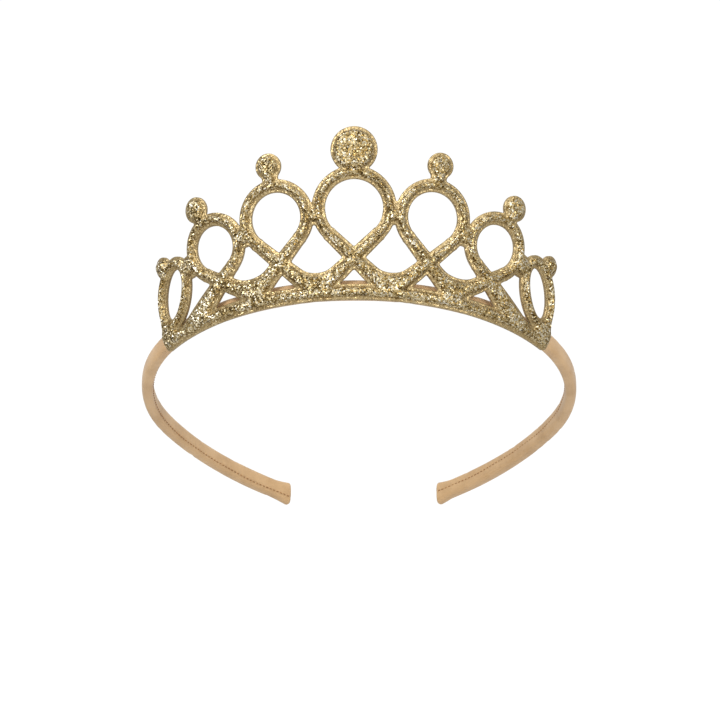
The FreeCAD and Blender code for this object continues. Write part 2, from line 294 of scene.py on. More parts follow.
class Looks:
    """Every material of the object."""

    def __init__(self) -> None:
        """Build the shared node groups and the materials."""
        glitter = GlitterFinish()
        self.glitter_group = self._glitter_group(glitter)
        self.cloth_group = self._cloth_group(Weave())
        self.by_slot: dict[Slot, bpy.types.Material] = {}
        for slot, finish in PLAIN.items():
            self.by_slot[slot] = self._plain(slot, finish)
        self.by_slot[Slot.GLITTER] = self._glitter(glitter)
        self.by_slot[Slot.SATIN] = self._cloth(Slot.SATIN, SatinFinish())
        self.by_slot[Slot.BACKING] = self._cloth(Slot.BACKING, FELT)

    def apply(self, thing: bpy.types.Object, slot: Slot) -> None:
        """Give an object one material.

        Args:
            thing: The mesh object.
            slot: Which finish.
        """
        thing.data.materials.clear()
        thing.data.materials.append(self.by_slot[slot])

    @staticmethod
    def _start(name: str) -> tuple[bpy.types.Material, Nodes, bpy.types.Node]:
        """New material with a bare surface.

        Args:
            name: The material's name.

        Returns:
            The material, its node helper and its surface shader.
        """
        material = bpy.data.materials.new(name)
        material.use_nodes = True
        material.node_tree.nodes.clear()
        nodes = Nodes(material.node_tree)
        surface = nodes.add("ShaderNodeBsdfPrincipled")
        output = nodes.add("ShaderNodeOutputMaterial")
        nodes.join(surface.outputs[0], output.inputs[0])
        return material, nodes, surface

    def _plain(self, slot: Slot, finish: Finish) -> bpy.types.Material:
        """Even finish with a faint mottle.

        Args:
            slot: Names the material.
            finish: Its constants.

        Returns:
            The material.
        """
        material, nodes, surface = self._start(slot.value)
        place = nodes.add("ShaderNodeTexCoord")
        noise = nodes.add("ShaderNodeTexNoise", in_Scale=finish.grain, in_Detail=3.0)
        nodes.join(place.outputs["Object"], noise.inputs["Vector"])
        tones = [(0.35, finish.darker), (0.65, finish.colour)]
        nodes.join(nodes.ramp(noise.outputs[0], tones), surface.inputs["Base Color"])
        surface.inputs["Roughness"].default_value = finish.roughness
        surface.inputs["Sheen Weight"].default_value = finish.sheen
        surface.inputs["Subsurface Weight"].default_value = finish.subsurface
        surface.inputs["Subsurface Scale"].default_value = finish.subsurface_scale
        return material

    @staticmethod
    def _glitter_group(finish: GlitterFinish) -> bpy.types.NodeTree:
        """Loose metallic flakes, each with its own tilt and a random tone whose darkest and
        brightest stops are painted shade and painted glints.

        Args:
            finish: Constants of the glitter sheet.

        Returns:
            The group, whose input Calm evens out tone and tilt.
        """

        def fill(nodes: Nodes, given: bpy.types.Node, result: bpy.types.Node) -> None:
            """Add the flakes.

            Args:
                nodes: The group's node helper.
                given: Its input node.
                result: Its output node.
            """
            place = nodes.add("ShaderNodeTexCoord")
            geometry = nodes.add("ShaderNodeNewGeometry")
            flakes = nodes.add("ShaderNodeTexVoronoi", in_Scale=1 / finish.flake)
            flecks = nodes.add("ShaderNodeTexVoronoi", in_Scale=1 / finish.fleck)
            drift = nodes.add("ShaderNodeTexNoise", in_Scale=finish.drift_rate,
                              in_Detail=2.0)
            for texture in (flakes, flecks, drift):
                nodes.join(place.outputs["Object"], texture.inputs["Vector"])
            parts = nodes.add("ShaderNodeSeparateColor")
            nodes.join(flakes.outputs["Color"], parts.inputs[0])
            small = nodes.add("ShaderNodeSeparateColor")
            nodes.join(flecks.outputs["Color"], small.inputs[0])
            large = nodes.math("MULTIPLY", parts.outputs[0], finish.flake_share)
            fine = nodes.math("MULTIPLY", small.outputs[1], finish.fleck_share)
            shift = nodes.math("SUBTRACT", drift.outputs[0], 0.5)
            wander = nodes.math("MULTIPLY", shift, finish.drift_share)
            tone = nodes.math("ADD", nodes.math("ADD", large, fine), wander)
            calm = nodes.math("MULTIPLY", given.outputs["Calm"], finish.calming)
            excess = nodes.math("SUBTRACT", tone, finish.calm_tone)
            tone = nodes.math("SUBTRACT", tone, nodes.math("MULTIPLY", excess, calm))
            # The ramp paints shade and glints into the flakes' base colour, on top of their real
            # random tone.
            nodes.join(nodes.ramp(tone, finish.tones), result.inputs["Colour"])
            lean = nodes.add("ShaderNodeVectorMath", operation="SUBTRACT")
            nodes.join(flakes.outputs["Color"], lean.inputs[0])
            lean.inputs[1].default_value = (0.5, 0.5, 0.5)
            scaled = nodes.add("ShaderNodeVectorMath", operation="SCALE")
            nodes.join(lean.outputs[0], scaled.inputs[0])
            settle = nodes.math("SUBTRACT", 1.0, calm)
            nodes.join(nodes.math("MULTIPLY", settle, 2 * finish.tilt), scaled.inputs["Scale"])
            turned = nodes.add("ShaderNodeVectorMath", operation="ADD")
            nodes.join(geometry.outputs["Normal"], turned.inputs[0])
            nodes.join(scaled.outputs[0], turned.inputs[1])
            unit = nodes.add("ShaderNodeVectorMath", operation="NORMALIZE")
            nodes.join(turned.outputs[0], unit.inputs[0])
            rough = nodes.math("MULTIPLY_ADD", small.outputs[0], finish.roughness_spread,
                               finish.roughness)
            nodes.join(rough, result.inputs["Roughness"])
            nodes.join(unit.outputs[0], result.inputs["Normal"])

        return group("Glitter flakes", {"Calm": 0.0},
                     {"Colour": "NodeSocketColor", "Roughness": "NodeSocketFloat",
                      "Normal": "NodeSocketVector"}, fill)

    def _glitter(self, finish: GlitterFinish) -> bpy.types.Material:
        """Glitter sheet, calmer and paler along its flat lip.

        Args:
            finish: Its constants.

        Returns:
            The material.
        """
        material, nodes, surface = self._start(Slot.GLITTER.value)
        flakes = nodes.add("ShaderNodeGroup", node_tree=self.glitter_group)
        rim = nodes.add("ShaderNodeAttribute", attribute_name="rim")
        nodes.join(rim.outputs["Fac"], flakes.inputs["Calm"])
        tint = nodes.add("ShaderNodeMix", data_type="RGBA")
        share = nodes.math("MULTIPLY", rim.outputs["Fac"], finish.lip_share)
        nodes.join(share, tint.inputs[0])
        nodes.join(flakes.outputs["Colour"], tint.inputs[6])
        tint.inputs[7].default_value = (*finish.lip, 1.0)
        nodes.join(tint.outputs[2], surface.inputs["Base Color"])
        nodes.join(flakes.outputs["Roughness"], surface.inputs["Roughness"])
        nodes.join(flakes.outputs["Normal"], surface.inputs["Normal"])
        surface.inputs["Metallic"].default_value = finish.metallic
        return material

    @staticmethod
    def _cloth_group(weave: Weave) -> bpy.types.NodeTree:
        """Fine weave over soft mottling, its threads drawn on metre-scaled UVs.

        Args:
            weave: Constants of the weave.

        Returns:
            The group, whose input Thread is the pitch of the threads.
        """

        def fill(nodes: Nodes, given: bpy.types.Node, result: bpy.types.Node) -> None:
            """Add the weave.

            Args:
                nodes: The group's node helper.
                given: Its input node.
                result: Its output node.
            """
            place = nodes.add("ShaderNodeTexCoord")
            split = nodes.add("ShaderNodeSeparateXYZ")
            nodes.join(place.outputs["UV"], split.inputs[0])
            waves = []
            for axis, rate in enumerate((weave.across, weave.along)):
                turns = nodes.math("MULTIPLY", split.outputs[axis], 2 * math.pi * rate)
                turns = nodes.math("DIVIDE", turns, given.outputs["Thread"])
                waves.append(nodes.math("SINE", turns))
            threads = nodes.math("MULTIPLY", *waves)
            soft = nodes.add("ShaderNodeTexNoise", in_Scale=weave.soft_rate, in_Detail=3.0)
            nodes.join(place.outputs["Object"], soft.inputs["Vector"])
            fine = nodes.add("ShaderNodeTexNoise", in_Scale=weave.fine_rate, in_Detail=2.0)
            nodes.join(place.outputs["Object"], fine.inputs["Vector"])
            shade = nodes.math("ADD", nodes.math("MULTIPLY", soft.outputs[0], weave.soft_share),
                               nodes.math("MULTIPLY", fine.outputs[0], weave.fine_share))
            shade = nodes.math("ADD", shade, nodes.math("MULTIPLY", threads, weave.thread_shade))
            nodes.join(shade, result.inputs["Shade"])
            relief = nodes.math("MULTIPLY", threads, weave.thread_height)
            height = nodes.math("ADD", relief, fine.outputs[0])
            nodes.join(height, result.inputs["Height"])

        return group("Woven cloth", {"Thread": 0.0002},
                     {"Shade": "NodeSocketFloat", "Height": "NodeSocketFloat"}, fill)

    def _cloth(self, slot: Slot, finish: SatinFinish) -> bpy.types.Material:
        """Cloth with a weave and a sheen.

        Args:
            slot: Names the material.
            finish: Its constants.

        Returns:
            The material.
        """
        material, nodes, surface = self._start(slot.value)
        cloth = nodes.add("ShaderNodeGroup", node_tree=self.cloth_group)
        cloth.inputs["Thread"].default_value = finish.thread
        nodes.join(nodes.ramp(cloth.outputs["Shade"], finish.tones), surface.inputs["Base Color"])
        bump = nodes.add("ShaderNodeBump", in_Strength=finish.bump, in_Distance=finish.bump_depth)
        nodes.join(cloth.outputs["Height"], bump.inputs["Height"])
        nodes.join(bump.outputs[0], surface.inputs["Normal"])
        surface.inputs["Roughness"].default_value = finish.roughness
        surface.inputs["Sheen Weight"].default_value = finish.sheen
        surface.inputs["Sheen Roughness"].default_value = finish.sheen_roughness
        return material


# ------------------------------------------------------------------ meshes --
@dataclass(frozen=True)
class Worn:
    """How the upright drawing of the band is placed in the row frame. Millimetres."""

    arch_radius: float = 60.6
    half_thickness: float = 1.87
    tilt: float = math.radians(62.6)

    def place(self, points: np.ndarray) -> np.ndarray:
        """Move drawn points to the row frame.

        Args:
            points: Points round the arch's centre, in millimetres.

        Returns:
            Points in the row frame, in metres.
        """
        x, y = points[:, 0], points[:, 1]
        z = points[:, 2] + self.half_thickness - self.arch_radius
        cosine, sine = math.cos(self.tilt), math.sin(self.tilt)
        return np.column_stack([x, y * cosine - z * sine, y * sine + z * cosine]) * MM


WORN = Worn()


def make_object(name: str, points: np.ndarray, faces: list[list[int]] | np.ndarray,
                uvs: np.ndarray | None = None, rim: np.ndarray | None = None,
                crease: float = 50.0) -> bpy.types.Object:
    """Mesh object at the origin.

    Args:
        name: The object's name.
        points: Vertices in the row frame, in metres.
        faces: Vertex indices of each face.
        uvs: One UV for each vertex.
        rim: One value for each vertex, kept as the attribute "rim".
        crease: Edges sharper than this angle in degrees are shaded sharp.

    Returns:
        The new object, linked to the scene.
    """
    mesh = bpy.data.meshes.new(name)
    mesh.from_pydata(points.tolist(), [], faces if isinstance(faces, list) else faces.tolist())
    mesh.polygons.foreach_set("use_smooth", [True] * len(mesh.polygons))
    if uvs is not None:
        layer = mesh.uv_layers.new(name="UVMap")
        loops = np.empty(len(mesh.loops), dtype=np.int32)
        mesh.loops.foreach_get("vertex_index", loops)
        layer.data.foreach_set("uv", uvs[loops].ravel())
    if rim is not None:
        mesh.attributes.new("rim", "FLOAT", "POINT").data.foreach_set("value", rim)
    mesh.set_sharp_from_angle(angle=math.radians(crease))
    mesh.update()
    thing = bpy.data.objects.new(name, mesh)
    bpy.context.scene.collection.objects.link(thing)
    return thing


# ------------------------------------------------------------ crown outline --
@dataclass(frozen=True)
class CrownOutline:
    """The crown laid flat: x sideways, y up from the band's middle.

    Millimetres, and the end loop's lean in degrees. A loop, valley, ball, join or pad is its
    centre and radius; the end loop is its centre, half length, half width and lean. Each piece
    on the right is repeated on the left.
    """

    strand: float = 3.6
    rail_top: float = -0.1
    rail_width: float = 4.2
    rail_bend: float = 161.0
    rail_half: float = 59.0
    loops: tuple[Numbers, ...] = ((0.0, 20.5, 9.65), (21.5, 18.3, 8.75), (40.2, 11.5, 7.8))
    valleys: tuple[Numbers, ...] = ((10.4, 10.9, 10.0), (30.5, 11.5, 11.6), (47.9, -9.5, 0.0))
    feet: Numbers = (5.4, 5.4, 8.0)
    valley_width: float = 4.2
    balls: tuple[Numbers, ...] = ((0.0, 36.3, 6.35), (23.6, 32.4, 3.6), (46.2, 22.3, 3.6),
                                  (59.6, 7.6, 3.0))
    neck: float = 4.4
    joins: tuple[Numbers, ...] = ((10.5, 18.7, 2.7), (30.7, 13.9, 3.0), (48.9, 7.0, 3.2))
    end_loop: Numbers = (55.7, 0.0, 8.8, 4.8, 16.0)
    end_loop_mean: float = 6.85
    end_pad: Numbers = (57.7, -11.1, 4.2)
    end_post: tuple[Numbers, ...] = ((60.9, -4.0), (59.9, -11.2))
    post: float = 3.0
    blend: float = 0.45

    @property
    def rail_centre(self) -> float:
        """Height of the centre of the rail's bend."""
        return self.rail_top - self.rail_width - self.rail_bend

    def distance(self, x: np.ndarray, y: np.ndarray) -> np.ndarray:
        """Distance outside the outline, negative inside.

        Args:
            x: Flat x of each point.
            y: Flat y of each point.

        Returns:
            Distance of each point, in millimetres.
        """
        x = np.abs(x)
        total = self._ring(x, y, (0.0, self.rail_centre), self.rail_bend + self.rail_width / 2,
                           self.rail_width, math.pi / 2, self._rail_turn())
        for shape in self._shapes(x, y):
            total = smooth_least(total, shape, self.blend)
        foot = self.rail_bend - np.hypot(x, y - self.rail_centre)
        return np.maximum(total, foot)

    def _rail_turn(self) -> float:
        """Half the angle that the rail covers."""
        return math.asin(self.rail_half / (self.rail_bend + self.rail_width / 2))

    def _shapes(self, x: np.ndarray, y: np.ndarray) -> list[np.ndarray]:
        """Every patch of the right half, and the strand that crosses the middle to it.

        Args:
            x: Flat x of each point, on the right half.
            y: Flat y of each point.

        Returns:
            One array of distances for each patch.
        """
        found = []
        for index, loop in enumerate(self.loops):
            right = self.valleys[index]
            left = (-right[0], right[1], right[2]) if index == 0 else self.valleys[index - 1]
            falling, low = self._strand(x, y, loop, right, -1, self.feet[index])
            rising, high = self._strand(x, y, loop, left, 1, self.feet[max(index - 1, 0)])
            found += [falling, rising]
            if index == 0:
                found.append(self._strand(-x, y, loop, right, -1, self.feet[0])[0])
            start = high % (2 * math.pi) - 2 * math.pi
            end = low % (2 * math.pi)
            if end - start > 2 * math.pi:
                end -= 2 * math.pi
            found.append(self._ring(x, y, loop[:2], loop[2], self.strand,
                                    (start + end) / 2, (end - start) / 2))
        for index in range(len(self.valleys) - 1):
            valley = self.valleys[index]
            start = downward(tangent_turn(self.loops[index], valley, -1))
            end = downward(tangent_turn(self.loops[index + 1], valley, 1))
            found.append(self._ring(x, y, valley[:2], valley[2], self.valley_width,
                                    (start + end) / 2, (end - start) / 2))
        ends = self.loops + ((*self.end_loop[:2], self.end_loop_mean),)
        for ball, loop in zip(self.balls, ends):
            found.append(np.hypot(x - ball[0], y - ball[1]) - ball[2])
            reach = math.dist(ball[:2], loop[:2]) - loop[2]
            share = reach / math.dist(ball[:2], loop[:2])
            foot = (ball[0] + (loop[0] - ball[0]) * share, ball[1] + (loop[1] - ball[1]) * share)
            found.append(bar_distance(x, y, ball[:2], foot, self.neck, self.neck))
        for join in self.joins + (self.end_pad,):
            found.append(np.hypot(x - join[0], y - join[1]) - join[2])
        found.append(bar_distance(x, y, *self.end_post, self.post, self.post))
        found.append(self._oval(x, y))
        return found

    def _strand(self, x: np.ndarray, y: np.ndarray, loop: tuple, valley: tuple, side: int,
                foot: float) -> tuple[np.ndarray, float]:
        """One straight strand, from where it leaves its loop down to the rail.

        Args:
            x: Flat x of each point.
            y: Flat y of each point.
            loop: Centre and radius of the loop.
            valley: Centre and radius of the valley that it touches.
            side: 1 or -1, which side of the loop it leaves.
            foot: Its width where it meets the rail.

        Returns:
            Distance of each point, and the angle at which it leaves the loop.
        """
        turn = tangent_turn(loop, valley, side)
        normal = np.array([math.cos(turn), math.sin(turn)])
        start = np.array(loop[:2]) + normal * loop[2]
        along = np.array([-side * normal[1], side * normal[0]])
        if along[1] > 0:
            along = -along
        offset = start - np.array([0.0, self.rail_centre])
        half = float(offset @ along)
        beyond = float(offset @ offset) - self.rail_bend ** 2
        end = start + along * (-half - math.sqrt(half * half - beyond))
        return bar_distance(x, y, start, end, self.strand, foot), turn

    @staticmethod
    def _ring(x: np.ndarray, y: np.ndarray, centre: Sequence[float], radius: float, width: float,
              middle: float, half: float) -> np.ndarray:
        """Piece of a ring with rounded ends.

        Args:
            x: Flat x of each point.
            y: Flat y of each point.
            centre: The ring's centre.
            radius: Radius of its middle line.
            width: Width of its band.
            middle: Angle of the piece's middle.
            half: Half the angle that it covers.

        Returns:
            Distance of each point.
        """
        dx, dy = x - centre[0], y - centre[1]
        turn = np.arctan2(dy, dx) - middle
        turn = (turn + math.pi) % (2 * math.pi) - math.pi
        found = np.abs(np.hypot(dx, dy) - radius) - width / 2
        caps = []
        for sign in (-1, 1):
            tip = middle + sign * half
            caps.append(np.hypot(dx - radius * math.cos(tip), dy - radius * math.sin(tip)))
        return np.where(np.abs(turn) <= half, found, np.minimum(*caps) - width / 2)

    def _oval(self, x: np.ndarray, y: np.ndarray) -> np.ndarray:
        """Leaning loop at the crown's end.

        Args:
            x: Flat x of each point.
            y: Flat y of each point.

        Returns:
            Distance of each point.
        """
        cx, cy, long_half, short_half, lean = self.end_loop
        turn = math.radians(90 + lean)
        along = (x - cx) * math.cos(turn) + (y - cy) * math.sin(turn)
        across = (y - cy) * math.cos(turn) - (x - cx) * math.sin(turn)
        sides = []
        for grown in (self.strand / 2, -self.strand / 2):
            a, b = long_half + grown, short_half + grown
            reach = np.hypot(along / a, across / b) + TINY
            slope = np.hypot(along / a ** 2, across / b ** 2) / reach + TINY
            sides.append((reach - 1) / slope)
        return np.maximum(sides[0], -sides[1])


def smooth_least(first: np.ndarray, second: np.ndarray, size: float) -> np.ndarray:
    """Lesser of two distances, with the corner between them rounded.

    Args:
        first: Distances to one shape.
        second: Distances to the other.
        size: How far the rounding reaches.

    Returns:
        Distances to both shapes together.
    """
    near = np.clip(0.5 + 0.5 * (second - first) / size, 0.0, 1.0)
    return second + (first - second) * near - size * near * (1 - near)


def tangent_turn(first: Sequence[float], second: Sequence[float], side: int) -> float:
    """Angle of the normal of the line that touches two circles on one side.

    Args:
        first: Centre and radius of one circle.
        second: Centre and radius of the other.
        side: 1 or -1.

    Returns:
        The angle in radians.
    """
    dx, dy = second[0] - first[0], second[1] - first[1]
    return math.atan2(dy, dx) + side * math.acos((first[2] - second[2]) / math.hypot(dx, dy))


def downward(turn: float) -> float:
    """The same direction, written as the angle nearest to straight down.

    Args:
        turn: An angle in radians.

    Returns:
        The angle within half a turn of straight down.
    """
    return (turn - math.pi / 2) % (2 * math.pi) - 3 * math.pi / 2


def bar_distance(x: np.ndarray, y: np.ndarray, start: Sequence[float], end: Sequence[float],
                 width: float, end_width: float) -> np.ndarray:
    """Distance to a straight bar that may widen along its length.

    Args:
        x: Flat x of each point.
        y: Flat y of each point.
        start: Middle of the bar's start.
        end: Middle of its end.
        width: Width at the start.
        end_width: Width at the end.

    Returns:
        Distance of each point.
    """
    length = math.dist(start, end)
    ux, uy = (end[0] - start[0]) / length, (end[1] - start[1]) / length
    along = (x - start[0]) * ux + (y - start[1]) * uy
    across = np.abs((y - start[1]) * ux - (x - start[0]) * uy)
    slope = (end_width - width) / 2 / length
    edge = (across - width / 2 - along * slope) / math.hypot(1, slope)
    return np.maximum(edge, np.maximum(-along, along - length))


# -------------------------------------------------------------- crown panel --
@dataclass(frozen=True)
class PanelSizes:
    """Sizes of the crown's layers, measured outwards from the pattern surface. Millimetres."""

    pattern_radius: float = 64.47
    flare: float = math.radians(20.0)
    backing_inner: float = -1.2
    backing_outer: float = -0.4
    lip_outer: float = 0.0
    puff_outer: float = 1.5
    lip: float = 0.8
    puff_run: float = 1.25
    sheet: float = 0.4
    foam_clearance: float = 0.1
    foam_seat: float = 0.02
    glue_gap: float = 0.01
    backing_roll: float = 0.25
    backing_roll_run: float = 0.15
    puff_drop: float = 0.15
    puff_power: float = 2.6
    dome: float = 0.12
    dome_run: float = 2.5
    edge_drop: float = 0.18
    edge_run: float = 0.12
    groove: float = 0.10
    groove_place: float = 0.08
    groove_run: float = 0.14
    rim_lead: float = 0.05
    rim_fade: float = 0.25
    crease: float = 70.0
    pitch: float = 0.26
    span: float = 64.0
    bottom: float = -17.0
    top: float = 44.0


@dataclass(frozen=True)
class Layer:
    """One cut layer: two heights for each point of the flat grid."""

    name: str
    inset: float
    low: Callable[[np.ndarray], np.ndarray]
    high: Callable[[np.ndarray], np.ndarray]


class CrownPanel:
    """Backing, foam and glitter sheet of the crown."""

    def __init__(self, looks: Looks) -> None:
        """Lay out the flat grid.

        Args:
            looks: The materials.
        """
        self.looks = looks
        self.sizes = PanelSizes()
        self.outline = CrownOutline()
        s = self.sizes
        columns = np.arange(-s.span, s.span + s.pitch, s.pitch)
        rows = np.arange(s.bottom, s.top + s.pitch, s.pitch)
        self.x, self.y = np.meshgrid(columns, rows)
        self.field = self.outline.distance(self.x, self.y)

    def build(self) -> list[bpy.types.Object]:
        """Make the three layers.

        Returns:
            The glitter sheet, the foam and the backing.
        """
        s = self.sizes
        front = Layer("crown_glitter_sheet", 0.0,
                      lambda depth: np.full_like(depth, s.backing_outer), self._puff)
        foam_low = s.backing_outer + s.foam_clearance
        foam = Layer("crown_foam_core", s.lip + s.foam_clearance,
                     lambda depth: np.full_like(depth, s.backing_outer + s.foam_seat),
                     lambda depth: np.maximum(self._puff(depth) - s.sheet, foam_low))
        backing = Layer("crown_back_sheet", 0.0, self._back,
                        lambda depth: np.full_like(depth, s.backing_outer - s.glue_gap))
        made = []
        for layer, slot, node in ((front, Slot.GLITTER, "crown_front"),
                                  (foam, Slot.FOAM, "crown_foam"),
                                  (backing, Slot.BACKING, "crown_backing")):
            thing = self._cut(layer)
            self.looks.apply(thing, slot)
            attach(thing, "arch")
            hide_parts(node)
            made.append(thing)
            LOG.info("made %s", thing.name)
        return made

    def _back(self, depth: np.ndarray) -> np.ndarray:
        """Height of the backing's hidden face, which rolls in along the cut edge.

        Args:
            depth: How far each point lies in from the edge.

        Returns:
            Height of each point.
        """
        s = self.sizes
        return s.backing_inner + s.backing_roll * np.exp(-depth / s.backing_roll_run)

    def _puff(self, depth: np.ndarray) -> np.ndarray:
        """Height of the glitter sheet's face.

        Args:
            depth: How far each point lies in from the edge.

        Returns:
            Height of each point.
        """
        s = self.sizes
        rise = np.clip((depth - s.lip) / s.puff_run, 0.0, 1.0)
        swell = 1 - (1 - rise) ** s.puff_power
        dome = 1 - np.exp(-np.maximum(depth - s.lip - s.puff_run, 0) / s.dome_run)
        edge = s.edge_drop * np.exp(-np.maximum(depth, 0) / s.edge_run)
        groove = s.groove * np.exp(-((depth - s.lip + s.groove_place) / s.groove_run) ** 2)
        rest = s.lip_outer - edge - groove
        return rest + (s.puff_outer - s.puff_drop) * swell + s.dome * dome

    def _cut(self, layer: Layer) -> bpy.types.Object:
        """Closed mesh of a layer, its edge drawn onto the outline.

        Args:
            layer: Which layer.

        Returns:
            The closed object.
        """
        s = self.sizes
        pitch = s.pitch
        field = self.field + layer.inset
        inside = field < 0.5 * pitch
        cells = inside[:-1, :-1] & inside[1:, :-1] & inside[:-1, 1:] & inside[1:, 1:]
        touched = np.zeros(field.shape, int)
        height, width = field.shape
        for row in (0, 1):
            for column in (0, 1):
                touched[row:height - 1 + row, column:width - 1 + column] += cells
        used = touched > 0
        slope_y, slope_x = np.gradient(field, pitch)
        steep = np.maximum(slope_x ** 2 + slope_y ** 2, 0.3)
        moved = np.where(used & (touched < 4), np.clip(field, -pitch, pitch), 0.0)
        x = self.x - moved * slope_x / steep
        y = self.y - moved * slope_y / steep
        depth = np.where(moved != 0, 0.0, np.maximum(-field, 0)) + layer.inset
        number = np.full(field.shape, -1)
        number[used] = np.arange(used.sum())
        flat = np.column_stack([x[used], y[used]])
        deep = depth[used]
        top = self.roll(flat, layer.high(deep))
        bottom = self.roll(flat, layer.low(deep))
        faces = self._faces(cells, number, len(flat))
        rim = 1 - np.clip((deep - s.lip + s.rim_lead) / s.rim_fade, 0, 1)
        uvs = np.vstack([flat, flat]) * MM
        return make_object(layer.name, np.vstack([top, bottom]), faces, uvs,
                           np.concatenate([rim, np.ones(len(flat))]), crease=s.crease)

    @staticmethod
    def _faces(cells: np.ndarray, number: np.ndarray, count: int) -> np.ndarray:
        """Top, bottom and side quads of the kept cells.

        Args:
            cells: Which cells of the grid are kept.
            number: Index of each used grid point.
            count: How many points one face has.

        Returns:
            The quads.
        """
        a, b = number[:-1, :-1][cells], number[:-1, 1:][cells]
        c, d = number[1:, 1:][cells], number[1:, :-1][cells]
        top = np.column_stack([a, b, c, d])
        quads = [top, top[:, ::-1] + count]
        padded = np.pad(cells, 1)
        for step, first, second in (((-1, 0), (0, 0), (0, 1)), ((1, 0), (1, 1), (1, 0)),
                                    ((0, -1), (1, 0), (0, 0)), ((0, 1), (0, 1), (1, 1))):
            beside = padded[1 + step[0]:padded.shape[0] - 1 + step[0],
                            1 + step[1]:padded.shape[1] - 1 + step[1]]
            rows, columns = np.nonzero(cells & ~beside)
            p = number[rows + first[0], columns + first[1]]
            q = number[rows + second[0], columns + second[1]]
            quads.append(np.column_stack([q, p, p + count, q + count]))
        return np.vstack(quads)

    def roll(self, flat: np.ndarray, offset: np.ndarray) -> np.ndarray:
        """Lay flat points on the crown's cone.

        Args:
            flat: Flat points, in millimetres.
            offset: How far out from the pattern surface.

        Returns:
            Points in the row frame, in metres.
        """
        s = self.sizes
        sine, cosine = math.sin(s.flare), math.cos(s.flare)
        apex = s.pattern_radius / sine
        reach = np.hypot(flat[:, 0], flat[:, 1] + apex)
        turn = np.arctan2(flat[:, 0], flat[:, 1] + apex) / sine
        height = reach - apex
        radius = s.pattern_radius + height * sine + offset * cosine
        level = height * cosine - offset * sine
        return WORN.place(np.column_stack([radius * np.sin(turn), level, radius * np.cos(turn)]))


# --------------------------------------------------------------------- band --
@dataclass(frozen=True)
class Creases:
    """Chance creases of one half of the satin tube. Millimetres, and seeds."""

    seeds: tuple[int, int] = (7, 11)
    depths: tuple[float, float] = (0.8, 1.5)
    count: int = 26
    first: float = 8.0
    last: float = 2.0
    lean: float = 2.5
    reach: tuple[float, float] = (0.5, 1.6)
    depth: tuple[float, float] = (0.03, 0.10)
    swell: float = 0.04
    swell_run: float = 9.0
    calm_start: float = 6.0
    radius: float = 2.2

    def field(self, run: np.ndarray, turn: np.ndarray, length: float, side: Side) -> np.ndarray:
        """How deep the tube is creased.

        Args:
            run: Distance of each ring along the band.
            turn: Angle of each point round the section.
            length: Length of the half.
            side: Which half.

        Returns:
            Depth of each point, rings by points.
        """
        rng = np.random.default_rng(self.seeds[side.place])
        place, around = run[:, None], turn[None, :]
        total = np.zeros((len(run), len(turn)))
        for _ in range(self.count):
            spot = rng.uniform(self.first, length - self.last)
            lean = rng.uniform(-self.lean, self.lean)
            reach = rng.uniform(*self.reach)
            centre = rng.uniform(0, 2 * math.pi)
            near = np.exp(-(((place - spot) - lean * np.sin(around - centre)) / reach) ** 2)
            depth = rng.uniform(*self.depth) * self.depths[side.place]
            total += depth * near * (0.5 + 0.5 * np.cos(around - centre))
        fade = np.clip(run / self.calm_start, 0, 1)[:, None]
        total += self.swell * np.sin(place / self.swell_run + 2 * around) * fade
        return total * fade


@dataclass(frozen=True)
class SeamSizes:
    """Path of the seam, the groove that it draws and its stitches. Millimetres."""

    drifts: tuple[float, float] = (-1.45, 0.25)
    drift_run: float = 95.0
    drift_power: float = 1.2
    sways: tuple[tuple[float, float], ...] = ((0.10, 7.0), (0.06, 2.9))
    groove: float = 0.10
    groove_half: float = 0.28
    pucker: float = 0.05
    pucker_pitch: float = 2.3
    pucker_place: float = 0.5
    pucker_half: float = 0.7
    start: float = 0.4
    end: float = 1.2
    sunk: float = 0.06
    step: float = 0.5
    stitch_pitch: float = 1.45
    stitch_length: float = 1.0
    stitch_radius: float = 0.15
    seeds: tuple[int, int] = (3, 5)

    def level(self, run: np.ndarray, side: Side) -> np.ndarray:
        """How far the seam has wandered across the inner face.

        Args:
            run: Distances along the band.
            side: Which half.

        Returns:
            The seam's place across the band at each distance.
        """
        drift = self.drifts[side.place]
        path = drift * np.clip(run / self.drift_run, 0, 1) ** self.drift_power
        return path + sum(size * np.sin(run / length) for size, length in self.sways)

    def relief(self, across: np.ndarray, run: np.ndarray, side: Side) -> np.ndarray:
        """How far the inner face is drawn in along the seam.

        Args:
            across: Place of each point across the band, rings by points.
            run: Distance of each ring along the band.
            side: Which half.

        Returns:
            Depth of each point.
        """
        level = self.level(run, side)[:, None]
        groove = self.groove * np.exp(-((across - level) / self.groove_half) ** 2)
        pucker = self.pucker * np.sin(run[:, None] * 2 * math.pi / self.pucker_pitch)
        near = np.exp(-((across - level - self.pucker_place) / self.pucker_half) ** 2)
        return groove + pucker * near


